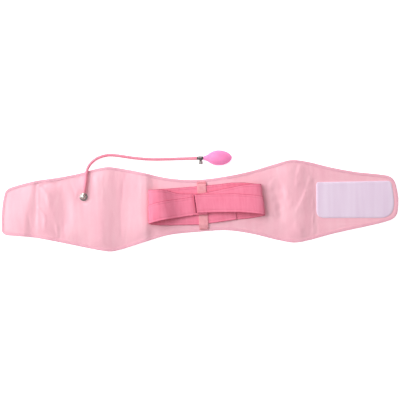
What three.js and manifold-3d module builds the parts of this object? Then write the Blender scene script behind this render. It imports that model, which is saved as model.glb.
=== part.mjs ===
// Pelvic support belt, laid out flat on a table with its inner face down.
// A contoured padded panel has a bound edge all round and a hook patch on its right end. Two elastic bands
// pass behind a keeper at the waist, fold over at both sides and close on each other in front.
// A rubber hand bulb with a release valve feeds the panel's air cell through a tube and an elbow fitting.
// Millimetres: +X along the belt, +Y across it, +Z up from the table, origin under the middle of the panel.

import * as THREE from "three";
import { mergeVertices } from "three/addons/utils/BufferGeometryUtils.js";
import Module from "manifold-3d";

const wasm = await Module();
wasm.setup();

// Driving dimensions
const GAP = 0.3; // clearance between pieces that touch
const PAD_THICKNESS = 7; // padded middle of the panel
const TAB_THICKNESS = 4; // unpadded end tabs
const HEM_THICKNESS = 2.6; // panel edge inside its binding
const PUFF_WIDTH = 10; // from the binding to the full padding
const PADDED_FROM = { start: -470, full: -420 };
const PADDED_TO = { full: 262, end: 292 };
const BINDING_WIDTH = 8; // lip of the folded tape on each face
const BINDING_WALL = 1;
const BINDING_BEVEL = 0.7;
const HEM_MARGIN = 1; // flat hem that shows inside the binding
const PATCH_THICKNESS = 1.7;
const BAND_WIDTH = 49;
const BAND_THICKNESS = 1.5;
const KEEPER = { x: 8, width: 24, lean: -0.02, thickness: 1 };
const TUBE_DIAMETER = 8;
const INLET = { x: -305, y: 34, spoutTurn: -10.5 }; // degrees that the spout turns from +Y towards +X
const INLET_SEAT = { flat: 24, fade: 54, lift: 4 }; // the cloth is level round the elbow, out to these radii
const PUMP = { x: 15, y: 125.2, z: 13.3, pitch: 10, yaw: -1.6 }; // the bulb's neck, with the bulb end raised

const COLOURS = {
  satin: 0xfacbd6,
  tape: 0xf5b4c5,
  hook: 0xe8d5e8,
  elastic: 0xf4839f,
  webbing: 0xf3a9ab,
  nickel: 0xc9c4bf,
  rubberTube: 0xec93aa,
  rubberBulb: 0xff9ad6,
};

// The panel's long edges: distance from the belt's axis to the top and bottom edge at each station.
const EDGE_STATIONS = [
  { x: -478, top: 71, bottom: 63.5 },
  { x: -430, top: 81, bottom: 70.5 },
  { x: -368, top: 88, bottom: 84.5 },
  { x: -310, top: 97.5, bottom: 98.5 },
  { x: -268, top: 107.5, bottom: 108 },
  { x: -238, top: 111, bottom: 112.5 },
  { x: -208, top: 106.5, bottom: 107.5 },
  { x: -148, top: 93, bottom: 90.5 },
  { x: -84, top: 76.5, bottom: 74.5 },
  { x: -10, top: 69, bottom: 69 },
  { x: 70, top: 75, bottom: 67.5 },
  { x: 140, top: 87, bottom: 80 },
  { x: 200, top: 102.5, bottom: 97 },
  { x: 246, top: 112.5, bottom: 106 },
  { x: 286, top: 107, bottom: 101 },
  { x: 346, top: 90.5, bottom: 87 },
  { x: 410, top: 76, bottom: 75 },
  { x: 470, top: 67.5, bottom: 64 },
];
const LEFT_END = [
  { x: -525, y: -44 },
  { x: -524, y: -12 },
  { x: -519, y: 28 },
  { x: -513.5, y: 50 },
];
const RIGHT_END = [
  { x: 522.5, y: -33 },
  { x: 525, y: -9 },
  { x: 524, y: 16 },
  { x: 520, y: 38 },
];
// Each rounded corner ends on a long edge at (edgeX, edgeY) and is pulled towards its control point.
const CORNERS = {
  bottomLeft: { edgeX: -507, edgeY: -60.5, controlX: -525.5, controlY: -59 },
  bottomRight: { edgeX: 497, edgeY: -57.5, controlX: 519, controlY: -51.5 },
  topRight: { edgeX: 492, edgeY: 64, controlX: 514.5, controlY: 61 },
  topLeft: { edgeX: -495, edgeY: 66.5, controlX: -510, controlY: 62 },
};

// Soft waves across the panel: each crest runs from topX to bottomX and bows to the right between them.
// A wave rises on the left of its crest and falls on the right.
const WAVES = [
  { topX: -436, bottomX: -477, bow: 0, rise: 60, fall: 17, lift: 7.5 },
  { topX: -396, bottomX: -402, bow: 0, rise: 38, fall: 30, lift: 7 },
  { topX: -365, bottomX: -365, bow: 49, rise: 20, fall: 55, lift: 4 },
  { topX: -253, bottomX: -260, bow: 0, rise: 50, fall: 34, lift: 7 },
  { topX: -154, bottomX: -161, bow: 0, rise: 22, fall: 14, lift: 4.5 },
  { topX: 220, bottomX: 230, bow: 17, rise: 18, fall: 30, lift: 4 },
  { topX: 266, bottomX: 262, bow: 10, rise: 9, fall: 14, lift: 2.5 },
];
const WAVE_SPAN = 100; // topX and bottomX are taken this far from the belt's axis
const HEM_SHARE = 0.8; // how much of a wave still lifts the bound edge
const TUBE_CROSSING = { x: -291, width: 45, share: 0.35 }; // the upper edge lies lower under the tube
const WAVE_FADE = 40; // distance from the edge over which a wave grows to its full height

// The strap's run seen from the side, from the left tip round both folds to the right tip.
// The upper band follows x and z, and the lower band lies one layer outside it.
const STRAP_RUN = [
  { x: 20, z: 13.2, upperY: 8.2, lowerY: 0.8, lean: 0 },
  { x: -10, z: 13.2, upperY: 8.5, lowerY: 0.5, lean: 0 },
  { x: -45, z: 13.3, upperY: 9, lowerY: -3.5, lean: 0 },
  { x: -61, z: 15.6, upperY: 9.8, lowerY: -5, lean: 0 },
  { x: -76, z: 20.8, upperY: 11.4, lowerY: -6.3, lean: 0 },
  { x: -90, z: 26.2, upperY: 13.5, lowerY: -8, lean: 0 },
  { x: -104, z: 29.6, upperY: 15.9, lowerY: -10, lean: 0 },
  { x: -116, z: 30.1, upperY: 18.2, lowerY: -12.7, lean: 0 },
  { x: -127, z: 26.8, upperY: 20.5, lowerY: -16, lean: 0 },
  { x: -132.5, z: 20.3, upperY: 21.4, lowerY: -18.2, lean: 0 },
  { x: -130, z: 13.8, upperY: 21.9, lowerY: -19.8, lean: 0 },
  { x: -120, z: 10.5, upperY: 22.3, lowerY: -21.8, lean: 0 },
  { x: -104, z: 9.9, upperY: 22.8, lowerY: -23.3, lean: 0 },
  { x: -82, z: 9.85, upperY: 23.5, lowerY: -24.5, lean: 0 },
  { x: -40, z: 9.85, upperY: 25.5, lowerY: -25, lean: 0 },
  { x: 0, z: 9.85, upperY: 27, lowerY: -25.5, lean: -0.02 },
  { x: 50, z: 9.85, upperY: 30, lowerY: -20, lean: -0.05 },
  { x: 90, z: 9.85, upperY: 33.5, lowerY: -15.5, lean: -0.07 },
  { x: 120, z: 9.85, upperY: 33, lowerY: -14, lean: -0.07 },
  { x: 148, z: 9.95, upperY: 28.5, lowerY: -11, lean: -0.07 },
  { x: 160.5, z: 11, upperY: 27, lowerY: -8.5, lean: -0.07 },
  { x: 166, z: 15.4, upperY: 26.5, lowerY: -6.7, lean: -0.07 },
  { x: 164, z: 20.4, upperY: 26, lowerY: -5, lean: -0.07 },
  { x: 153, z: 23, upperY: 25.3, lowerY: -2.2, lean: -0.07 },
  { x: 100, z: 21.6, upperY: 20, lowerY: 4, lean: -0.07 },
  { x: 50, z: 19.4, upperY: 13, lowerY: 5.5, lean: -0.08 },
  { x: 20, z: 17.6, upperY: 9.5, lowerY: 5.5, lean: -0.1 },
  { x: -10, z: 16.85, upperY: 5.5, lowerY: 5.5, lean: -0.1 },
];
const STRAP_STEPS = 104;
const STRAP_AXIS_Y = 10; // the bands lean about this line
// The lower band is lapped behind the waist: its left part rises off its right part and ends at x = end.
const LAP = { liftFrom: 15, liftTo: 85, lift: 8, end: 93, start: 45 };

// Underside of the keeper across the waist, over the upper band and then the lower one.
const KEEPER_RUN = [
  { y: 60, z: 4.6 },
  { y: 57.2, z: 8.6 },
  { y: 53.4, z: 10.95 },
  { y: 28, z: 10.95 },
  { y: 9, z: 10.95 },
  { y: 2, z: 10.75 },
  { y: -5, z: 9.55 },
  { y: -28, z: 9.35 },
  { y: -51, z: 9.35 },
  { y: -55.5, z: 7.4 },
  { y: -59, z: 4.7 },
];

const KEEPER_STEPS = 40;

// Hook patch: a rectangle with a bowed right edge, a left edge that slants in towards its foot and a lower
// edge that drops by the flare towards the right.
const PATCH = { x: 409.9, y: 5.5, length: 202.2, height: 95.6, bow: 4, slant: 7.7, flare: 6.8 };
const PATCH_SEAT = TAB_THICKNESS + 0.45;
const PATCH_CURVE_STEPS = 6;
const PATCH_CORNERS = { topLeft: 4, bottomLeft: 6, bottomRight: 28, topRight: 20 };

// Air tube, from the elbow's spout over the panel's edge and along the table to the valve.
const TUBE_ROUTE = [
  { x: -303, y: 45, z: 19.6 },
  { x: -300.5, y: 58, z: 19.3 },
  { x: -297, y: 76, z: 17.4 },
  { x: -296, y: 92, z: 14.3 },
  { x: -293.5, y: 103.5, z: 11.6 },
  { x: -289, y: 114, z: 8.3 },
  { x: -280.5, y: 124.5, z: 5.6 },
  { x: -268.5, y: 133.5, z: 4.3 },
  { x: -254, y: 139, z: 4.1 },
  { x: -238, y: 142, z: 4.1 },
  { x: -222, y: 141.5, z: 4.1 },
  { x: -206, y: 139, z: 4.1 },
  { x: -185, y: 135, z: 4.1 },
  { x: -164, y: 131.5, z: 4.1 },
  { x: -138, y: 128.3, z: 4.1 },
  { x: -111, y: 126.6, z: 4.1 },
  { x: -79, y: 126.2, z: 4.1 },
  { x: -50, y: 126, z: 4.4 },
  { x: -25, y: 125.8, z: 6.3 },
  { x: -2.2, y: 125.7, z: 10 },
];
const TUBE_STEPS = 40;
const TUBE_SIDES = 10;

// Bulb profile from its neck to its closed end.
const BULB_PROFILE = [
  { along: 0, radius: 5 },
  { along: 4, radius: 5.9 },
  { along: 8, radius: 7.6 },
  { along: 12.5, radius: 10.4 },
  { along: 18, radius: 14 },
  { along: 27, radius: 18.2 },
  { along: 38, radius: 20 },
  { along: 49, radius: 19.3 },
  { along: 60, radius: 16 },
  { along: 68, radius: 11.3 },
  { along: 73, radius: 6 },
  { along: 75, radius: 0 },
];
const VALVE_PROFILE = [
  { along: -17, radius: 0 },
  { along: -17, radius: 4.3 },
  { along: -14.5, radius: 4.3 },
  { along: -13.5, radius: 5 },
  { along: -3, radius: 5 },
  { along: -2, radius: 4.3 },
  { along: -GAP, radius: 4.3 },
  { along: -GAP, radius: 0 },
];
const VALVE_BOSS = { along: -8, radius: 3.6, reach: 7.4, bore: 1.9, boreFrom: 2.5 };
const SCREW = { stem: 1.5, stemFrom: 3, knobFrom: 7.8, knobTo: 16.4, radius: 5, groove: 0.35, teeth: 18 };
const ROUND_SIDES = 24;
const STEM_SIDES = 12;

const SURFACE_COLUMNS = 62; // panel cells along the belt
const SURFACE_ROWS = 14; // and across it
const CORNER_STEPS = 3; // cells on each half of a rounded corner

const smooth = (t) => THREE.MathUtils.smoothstep(t, 0, 1);
const radians = THREE.MathUtils.degToRad;

function finish(color, roughness, metalness = 0) {
  return new THREE.MeshStandardMaterial({ color, roughness, metalness });
}

function piece(name, geometry, material) {
  const mesh = new THREE.Mesh(geometry, material);
  mesh.name = name;
  return mesh;
}

// Solids for joins and cuts
function toSolid(geometry) {
  const bare = new THREE.BufferGeometry();
  const source = geometry.index ? geometry.toNonIndexed() : geometry;
  bare.setAttribute("position", source.getAttribute("position"));
  const merged = mergeVertices(bare, 1e-4);
  return new wasm.Manifold(
    new wasm.Mesh({
      numProp: 3,
      vertProperties: merged.attributes.position.array,
      triVerts: new Uint32Array(merged.index.array),
    }),
  );
}

function toGeometry(solid) {
  const mesh = solid.getMesh();
  const geometry = new THREE.BufferGeometry();
  geometry.setAttribute("position", new THREE.BufferAttribute(mesh.vertProperties, 3));
  geometry.setIndex(new THREE.BufferAttribute(mesh.triVerts, 1));
  geometry.computeVertexNormals();
  return geometry;
}

// A box whose grid of cells is moved into place: place(column, row, onTop) gives each vertex.
function shapedSlab(columns, rows, place) {
  const slab = new THREE.BoxGeometry(1, 1, 1, columns, rows, 1);
  const position = slab.getAttribute("position");
  for (let k = 0; k < position.count; k += 1) {
    const column = Math.round((position.getX(k) + 0.5) * columns);
    const row = Math.round((position.getY(k) + 0.5) * rows);
    const at = place(column, row, position.getZ(k) > 0);
    position.setXYZ(k, at.x, at.y, at.z);
  }
  slab.computeVertexNormals();
  return slab;
}

// Panel outline
const spline = (rows, toPoint) => new THREE.SplineCurve(rows.map(toPoint));
const endPoint = (row) => new THREE.Vector2(row.x, row.y);
const cornerEdge = (corner) => new THREE.Vector2(corner.edgeX, corner.edgeY);

function cornerCurve(end, corner) {
  const control = new THREE.Vector2(corner.controlX, corner.controlY);
  return new THREE.QuadraticBezierCurve(endPoint(end), control, cornerEdge(corner));
}

function longEdge(leftCorner, rightCorner, side) {
  const stations = EDGE_STATIONS.map((s) => new THREE.Vector2(s.x, side === "top" ? s.top : -s.bottom));
  return new THREE.SplineCurve([cornerEdge(leftCorner), ...stations, cornerEdge(rightCorner)]);
}

// One side of the outline: half a corner, the edge itself, and half of the next corner.
function outlineSide(firstCorner, edge, lastCorner, cells, cornersEndOnEdge) {
  const points = [];
  const from = cornersEndOnEdge ? (s) => 0.5 + s / 2 : (s) => 0.5 - s / 2;
  const to = cornersEndOnEdge ? (s) => 1 - s / 2 : (s) => s / 2;
  for (let i = 0; i < CORNER_STEPS; i += 1) {
    points.push(firstCorner.getPoint(from(i / CORNER_STEPS)));
  }
  points.push(...edge.getSpacedPoints(cells - 2 * CORNER_STEPS));
  for (let i = 1; i <= CORNER_STEPS; i += 1) {
    points.push(lastCorner.getPoint(to(i / CORNER_STEPS)));
  }
  return points;
}

function panelOutline(columns, rows) {
  const leftEdge = spline(LEFT_END, endPoint);
  const rightEdge = spline(RIGHT_END, endPoint);
  const lastLeft = LEFT_END[LEFT_END.length - 1];
  const lastRight = RIGHT_END[RIGHT_END.length - 1];
  const bottomLeft = cornerCurve(LEFT_END[0], CORNERS.bottomLeft);
  const bottomRight = cornerCurve(RIGHT_END[0], CORNERS.bottomRight);
  const topRight = cornerCurve(lastRight, CORNERS.topRight);
  const topLeft = cornerCurve(lastLeft, CORNERS.topLeft);
  const bottomEdge = longEdge(CORNERS.bottomLeft, CORNERS.bottomRight, "bottom");
  const topEdge = longEdge(CORNERS.topLeft, CORNERS.topRight, "top");
  return {
    bottom: outlineSide(bottomLeft, bottomEdge, bottomRight, columns, true),
    right: outlineSide(bottomRight, rightEdge, topRight, rows, false),
    top: outlineSide(topLeft, topEdge, topRight, columns, true),
    left: outlineSide(bottomLeft, leftEdge, topLeft, rows, false),
  };
}

// The sides as one loop, counter-clockwise from the bottom left corner.
function closedLoop({ bottom, right, top, left }) {
  const onwards = (side) => side.slice(0, -1);
  return [
    ...onwards(bottom),
    ...onwards(right),
    ...onwards([...top].reverse()),
    ...onwards([...left].reverse()),
  ];
}

// The loop moved inwards by a distance.
function insetLoop(loop, distance) {
  return loop.map((point, i) => {
    const before = loop[(i + loop.length - 1) % loop.length];
    const after = loop[(i + 1) % loop.length];
    const along = after.clone().sub(before).normalize();
    return new THREE.Vector2(point.x - along.y * distance, point.y + along.x * distance);
  });
}

// Place of a boundary cell corner in the loop.
function loopIndex(column, row, columns, rows) {
  const count = 2 * (columns + rows);
  if (row === 0) return column;
  if (column === columns) return columns + row;
  if (row === rows) return 2 * columns + rows - column;
  return (count - row) % count;
}

// A grid inside four boundary lines, blended from all of them.
function blendedGrid(bottom, top, left, right) {
  const columns = bottom.length - 1;
  const rows = left.length - 1;
  const corner = (u, v) => (v ? top : bottom)[u ? columns : 0];
  return bottom.map((_, i) =>
    left.map((__, j) => {
      const u = i / columns;
      const v = j / rows;
      const at = new THREE.Vector2();
      at.addScaledVector(bottom[i], 1 - v).addScaledVector(top[i], v);
      at.addScaledVector(left[j], 1 - u).addScaledVector(right[j], u);
      at.addScaledVector(corner(0, 0), -(1 - u) * (1 - v)).addScaledVector(corner(1, 0), -u * (1 - v));
      at.addScaledVector(corner(0, 1), -(1 - u) * v).addScaledVector(corner(1, 1), -u * v);
      return at;
    }),
  );
}

const outline = closedLoop(panelOutline(SURFACE_COLUMNS, SURFACE_ROWS));

function distanceToOutline(point) {
  const nearest = new THREE.Vector3();
  const at = new THREE.Vector3(point.x, point.y, 0);
  const segment = new THREE.Line3();
  let best = Infinity;
  outline.forEach((start, i) => {
    const end = outline[(i + 1) % outline.length];
    segment.set(new THREE.Vector3(start.x, start.y, 0), new THREE.Vector3(end.x, end.y, 0));
    segment.closestPointToPoint(at, true, nearest);
    best = Math.min(best, nearest.distanceTo(at));
  });
  return best;
}

function waves(x, y) {
  return WAVES.reduce((sum, wave) => {
    const straight = THREE.MathUtils.mapLinear(y, WAVE_SPAN, -WAVE_SPAN, wave.topX, wave.bottomX);
    const crest = straight + wave.bow * (1 - (y / WAVE_SPAN) ** 2);
    const reach = (x - crest) / (x < crest ? wave.rise : wave.fall);
    return sum + wave.lift * Math.exp(-reach * reach);
  }, 0);
}

function waveLift(x, y) {
  const away = Math.hypot(x - INLET.x, y - INLET.y);
  const level = 1 - smooth((away - INLET_SEAT.flat) / (INLET_SEAT.fade - INLET_SEAT.flat));
  return THREE.MathUtils.lerp(waves(x, y), INLET_SEAT.lift, level);
}

function hemShare(point) {
  const away = (point.x - TUBE_CROSSING.x) / TUBE_CROSSING.width;
  const near = point.y > 0 ? Math.exp(-away * away) : 0;
  return THREE.MathUtils.lerp(HEM_SHARE, TUBE_CROSSING.share, near);
}

// Underside and thickness of the panel at a point, at a distance from its edge.
function panelHeights(point, distance) {
  const inside = distance - BINDING_WIDTH - HEM_MARGIN;
  const puff = smooth(inside / PUFF_WIDTH);
  const padded =
    smooth((point.x - PADDED_FROM.start) / (PADDED_FROM.full - PADDED_FROM.start)) *
    (1 - smooth((point.x - PADDED_TO.full) / (PADDED_TO.end - PADDED_TO.full)));
  const full = THREE.MathUtils.lerp(TAB_THICKNESS, PAD_THICKNESS, padded);
  const share = THREE.MathUtils.lerp(hemShare(point), 1, smooth(inside / WAVE_FADE));
  const lift = share * waveLift(point.x, point.y);
  const under = (BINDING_WALL + GAP) * (1 - puff);
  return { under: under + lift, thickness: THREE.MathUtils.lerp(HEM_THICKNESS, full, puff) };
}

// The first and last cells belong to the hem, so their inner corners answer to the outer ones.
function outermost(cell, last) {
  if (cell <= 1) return 0;
  if (cell >= last - 1) return last;
  return cell;
}

function beltPanel() {
  const columns = SURFACE_COLUMNS;
  const rows = SURFACE_ROWS;
  const edge = insetLoop(outline, BINDING_WALL + GAP);
  const hem = insetLoop(outline, BINDING_WIDTH + HEM_MARGIN);
  const hemPoint = (column, row) => {
    return loopIndex(outermost(column, columns), outermost(row, rows), columns, rows);
  };
  const line = (count, at) => Array.from({ length: count - 1 }, (_, i) => hem[at(i + 1)]);
  const inner = blendedGrid(
    line(columns, (i) => hemPoint(i, 0)),
    line(columns, (i) => hemPoint(i, rows)),
    line(rows, (j) => hemPoint(0, j)),
    line(rows, (j) => hemPoint(columns, j)),
  );
  return shapedSlab(columns, rows, (column, row, onTop) => {
    const onEdge = column === 0 || row === 0 || column === columns || row === rows;
    const onHem = column === 1 || row === 1 || column === columns - 1 || row === rows - 1;
    let flat = null;
    let lifted = null;
    if (onEdge || onHem) {
      const index = onEdge ? loopIndex(column, row, columns, rows) : hemPoint(column, row);
      flat = onEdge ? edge[index] : inner[column - 1][row - 1];
      lifted = panelHeights(outline[index], 0);
    } else {
      flat = inner[column - 1][row - 1];
      lifted = panelHeights(flat, distanceToOutline(flat));
    }
    return { x: flat.x, y: flat.y, z: lifted.under + (onTop ? lifted.thickness : 0) };
  });
}

// The binding is one tape folded round the edge: a U-shaped section carried along the outline.
function edgeBinding() {
  const inner = BINDING_WALL + GAP + HEM_THICKNESS + GAP; // underside of the upper lip
  const outer = inner + BINDING_WALL;
  const bevel = BINDING_BEVEL;
  const section = [
    { inset: bevel, z: 0 },
    { inset: 0, z: bevel },
    { inset: 0, z: outer - bevel },
    { inset: bevel, z: outer },
    { inset: BINDING_WIDTH, z: outer },
    { inset: BINDING_WIDTH, z: inner },
    { inset: BINDING_WALL, z: inner },
    { inset: BINDING_WALL, z: BINDING_WALL },
    { inset: BINDING_WIDTH, z: BINDING_WALL },
    { inset: BINDING_WIDTH, z: 0 },
  ];
  const loops = section.map((corner) => insetLoop(outline, corner.inset));
  const lifts = outline.map((point) => panelHeights(point, 0).under - BINDING_WALL - GAP);
  const tape = new THREE.TorusGeometry(1, 0.5, section.length, outline.length);
  const position = tape.getAttribute("position");
  for (let k = 0; k < position.count; k += 1) {
    const corner = Math.floor(k / (outline.length + 1)) % section.length;
    const step = (k % (outline.length + 1)) % outline.length;
    const at = loops[corner][step];
    position.setXYZ(k, at.x, at.y, section[corner].z + lifts[step]);
  }
  tape.computeVertexNormals();
  return tape;
}

function hookPatch() {
  const right = PATCH.length / 2;
  const top = PATCH.height / 2;
  const foot = -right + PATCH.slant;
  const low = -top - PATCH.flare;
  const slope = PATCH.slant / PATCH.height;
  const drop = PATCH.flare / (right - foot);
  const round = PATCH_CORNERS;
  const shape = new THREE.Shape();
  shape.moveTo(foot + round.bottomLeft, -top - drop * round.bottomLeft);
  shape.lineTo(right - round.bottomRight, low + drop * round.bottomRight);
  shape.quadraticCurveTo(right, low, right, low + round.bottomRight);
  shape.quadraticCurveTo(right + PATCH.bow, 0, right, top - round.topRight);
  shape.quadraticCurveTo(right, top, right - round.topRight, top);
  shape.lineTo(-right + round.topLeft, top);
  shape.quadraticCurveTo(-right, top, -right + slope * round.topLeft, top - round.topLeft);
  shape.lineTo(foot - slope * round.bottomLeft, -top + round.bottomLeft);
  shape.quadraticCurveTo(foot, -top, foot + round.bottomLeft, -top - drop * round.bottomLeft);
  return new THREE.ExtrudeGeometry(shape, {
    depth: PATCH_THICKNESS,
    bevelEnabled: false,
    curveSegments: PATCH_CURVE_STEPS,
  });
}

// Elastic bands
const strapCurve = new THREE.CatmullRomCurve3(STRAP_RUN.map((row) => new THREE.Vector3(row.x, 0, row.z)));

function strapValue(column, t) {
  const at = t * (STRAP_RUN.length - 1);
  const row = Math.min(Math.floor(at), STRAP_RUN.length - 2);
  return THREE.MathUtils.lerp(STRAP_RUN[row][column], STRAP_RUN[row + 1][column], at - row);
}

// A ribbon along the strap's run from one share of it to another, a number of layers outside the upper band.
function strapRibbon(centreColumn, layer, from, to, liftAt = () => 0) {
  const steps = Math.round(STRAP_STEPS * (to - from));
  return shapedSlab(steps, 1, (column, row, onTop) => {
    const t = THREE.MathUtils.lerp(from, to, column / steps);
    const along = strapCurve.getTangent(t);
    const outwards = new THREE.Vector3(along.z, 0, -along.x);
    const outside = layer * (BAND_THICKNESS + GAP) + (onTop ? 0.5 : -0.5) * BAND_THICKNESS;
    const at = strapCurve.getPoint(t).addScaledVector(outwards, outside);
    at.z += liftAt(at.x, t);
    at.y = strapValue(centreColumn, t) + (row === 0 ? 0.5 : -0.5) * BAND_WIDTH;
    at.x += (at.y - STRAP_AXIS_Y) * strapValue("lean", t);
    return at;
  });
}

// Share of the run at which the back of the strap passes x.
function backShare(x) {
  const rows = STRAP_RUN.length - 1;
  const fold = STRAP_RUN.reduce((best, row, i) => (row.x < STRAP_RUN[best].x ? i : best), 0);
  let row = fold;
  while (STRAP_RUN[row + 1].x < x) row += 1;
  return (row + (x - STRAP_RUN[row].x) / (STRAP_RUN[row + 1].x - STRAP_RUN[row].x)) / rows;
}

// Behind the waist the left part of the lower band lifts off the right part.
function lapLift(x, t) {
  if (t < backShare(LAP.liftFrom)) return 0;
  return LAP.lift * smooth((x - LAP.liftFrom) / (LAP.liftTo - LAP.liftFrom));
}

function keeperStrip() {
  const run = new THREE.CatmullRomCurve3(KEEPER_RUN.map((row) => new THREE.Vector3(0, row.y, row.z)));
  const steps = KEEPER_STEPS;
  return shapedSlab(1, steps, (column, row, onTop) => {
    const at = run.getPoint(1 - row / steps);
    const side = (column - 0.5) * KEEPER.width;
    return { x: KEEPER.x + side + KEEPER.lean * at.y, y: at.y, z: at.z + (onTop ? KEEPER.thickness : 0) };
  });
}

// Height of the panel's upper face at a point.
function panelTop(mesh, x, y) {
  const down = new THREE.Raycaster(new THREE.Vector3(x, y, 10 * PAD_THICKNESS), new THREE.Vector3(0, 0, -1));
  return down.intersectObject(mesh)[0].point.z;
}

// Highest point of the panel under a round foot.
function seatUnder(mesh, x, y, radius) {
  let highest = panelTop(mesh, x, y);
  for (let i = 0; i < ROUND_SIDES; i += 1) {
    const angle = (i / ROUND_SIDES) * 2 * Math.PI;
    const rim = panelTop(mesh, x + radius * Math.cos(angle), y + radius * Math.sin(angle));
    highest = Math.max(highest, rim);
  }
  return highest;
}

function turned(profile, sides = ROUND_SIDES) {
  return new THREE.LatheGeometry(
    profile.map((row) => new THREE.Vector2(row.radius, row.along)),
    sides,
  );
}

// Elbow fitting: a flange and hexagon nut on the panel, a domed body and a spout for the tube.
const ELBOW_PROFILE = [
  { along: 0, radius: 0 },
  { along: 0, radius: 10.5 },
  { along: 0.9, radius: 10.5 },
  { along: 1.5, radius: 9.8 },
  { along: 1.5, radius: 6.4 },
  { along: 10, radius: 6.4 },
  { along: 12.6, radius: 5.4 },
  { along: 14.2, radius: 3.2 },
  { along: 14.7, radius: 0 },
];
const ELBOW_NUT = { radius: 8.6, from: 1.2, height: 3.6 };
const ELBOW_SPOUT = { radius: 4.6, height: 8.4, reach: 10.8 };

function inletElbow() {
  const body = turned(ELBOW_PROFILE).rotateX(Math.PI / 2);
  const nut = new THREE.CylinderGeometry(ELBOW_NUT.radius, ELBOW_NUT.radius, ELBOW_NUT.height, 6);
  nut.rotateX(Math.PI / 2).translate(0, 0, ELBOW_NUT.from + ELBOW_NUT.height / 2);
  const { radius, reach, height } = ELBOW_SPOUT;
  const spout = new THREE.CylinderGeometry(radius, radius, reach, ROUND_SIDES);
  spout.translate(0, reach / 2, height).rotateZ(radians(INLET.spoutTurn));
  return toGeometry(toSolid(body).add(toSolid(nut)).add(toSolid(spout)));
}

function airTube() {
  const path = new THREE.CatmullRomCurve3(TUBE_ROUTE.map((row) => new THREE.Vector3(row.x, row.y, row.z)));
  const section = new THREE.Shape();
  section.absarc(0, 0, TUBE_DIAMETER / 2, 0, 2 * Math.PI);
  return new THREE.ExtrudeGeometry(section, {
    steps: TUBE_STEPS,
    extrudePath: path,
    curveSegments: TUBE_SIDES / 2,
    bevelEnabled: false,
  });
}

// Pump pieces lie along their own +X, from the valve to the closed end of the bulb.
function pumpBulb() {
  const closed = [{ along: 0, radius: 0 }, ...BULB_PROFILE];
  return turned(closed).rotateZ(-Math.PI / 2);
}

function pumpValve() {
  const barrel = turned(VALVE_PROFILE).rotateZ(-Math.PI / 2);
  const { along, radius, reach, bore, boreFrom } = VALVE_BOSS;
  const boss = new THREE.CylinderGeometry(radius, radius, reach, ROUND_SIDES).translate(along, -reach / 2, 0);
  const depth = reach - boreFrom + 1;
  const hole = new THREE.CylinderGeometry(bore, bore, depth, ROUND_SIDES);
  hole.translate(along, -boreFrom - depth / 2, 0);
  return toGeometry(toSolid(barrel).add(toSolid(boss)).subtract(toSolid(hole)));
}

function releaseScrew() {
  const { stem, stemFrom, knobFrom, knobTo, radius, groove, teeth } = SCREW;
  const corners = [];
  for (let i = 0; i < 2 * teeth; i += 1) {
    const angle = (i / (2 * teeth)) * 2 * Math.PI;
    const at = radius - (i % 2 ? groove : 0);
    corners.push(new THREE.Vector2(at * Math.cos(angle), at * Math.sin(angle)));
  }
  const grip = new THREE.Shape(corners);
  const knob = new THREE.ExtrudeGeometry(grip, { depth: knobTo - knobFrom, bevelEnabled: false });
  knob.rotateX(Math.PI / 2).translate(0, -knobFrom, 0);
  const shaftLength = knobFrom + 1 - stemFrom;
  const shaft = new THREE.CylinderGeometry(stem, stem, shaftLength, STEM_SIDES);
  shaft.translate(0, -stemFrom - shaftLength / 2, 0);
  return toGeometry(toSolid(knob).add(toSolid(shaft)));
}

// Materials
const satin = finish(COLOURS.satin, 0.55);
const tape = finish(COLOURS.tape, 0.7);
const hook = finish(COLOURS.hook, 0.9);
const elastic = finish(COLOURS.elastic, 0.75);
const webbing = finish(COLOURS.webbing, 0.7);
const nickel = finish(COLOURS.nickel, 0.2, 1);
const rubberTube = finish(COLOURS.rubberTube, 0.45);
const rubberBulb = finish(COLOURS.rubberBulb, 0.4);

// Assembly
const belt = new THREE.Group();

const panel = piece("belt_panel", beltPanel(), satin);
belt.add(panel);
belt.add(piece("edge_binding", edgeBinding(), tape));

const patch = piece("hook_patch", hookPatch(), hook);
patch.position.set(PATCH.x, PATCH.y, PATCH_SEAT);
belt.add(patch);

belt.add(piece("band_upper", strapRibbon("upperY", 0, 0, 1), elastic));
const lowerLeft = strapRibbon("lowerY", 1, 0, backShare(LAP.end), lapLift);
belt.add(piece("band_lower_left", lowerLeft, elastic));
const lowerRight = strapRibbon("lowerY", 1, backShare(LAP.start), 1);
belt.add(piece("band_lower_right", lowerRight, elastic));
belt.add(piece("strap_keeper", keeperStrip(), webbing));

const elbow = piece("inlet_elbow", inletElbow(), nickel);
const flangeRadius = ELBOW_PROFILE[1].radius;
elbow.position.set(INLET.x, INLET.y, seatUnder(panel, INLET.x, INLET.y, flangeRadius) + GAP);
belt.add(elbow);

belt.add(piece("air_tube", airTube(), rubberTube));

const pump = new THREE.Group();
pump.position.set(PUMP.x, PUMP.y, PUMP.z);
pump.rotation.set(0, radians(-PUMP.pitch), radians(PUMP.yaw), "ZYX");
pump.add(piece("pump_bulb", pumpBulb(), rubberBulb));
pump.add(piece("pump_valve", pumpValve(), nickel));
const screw = piece("release_screw", releaseScrew(), nickel);
screw.position.x = VALVE_BOSS.along;
pump.add(screw);
belt.add(pump);

export default belt;
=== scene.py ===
# Pelvic support belt lying flat on a white table, seen from straight above
import math
from functools import partial

import bmesh
import bpy
from mathutils import Matrix, Vector, kdtree, noise


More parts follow.
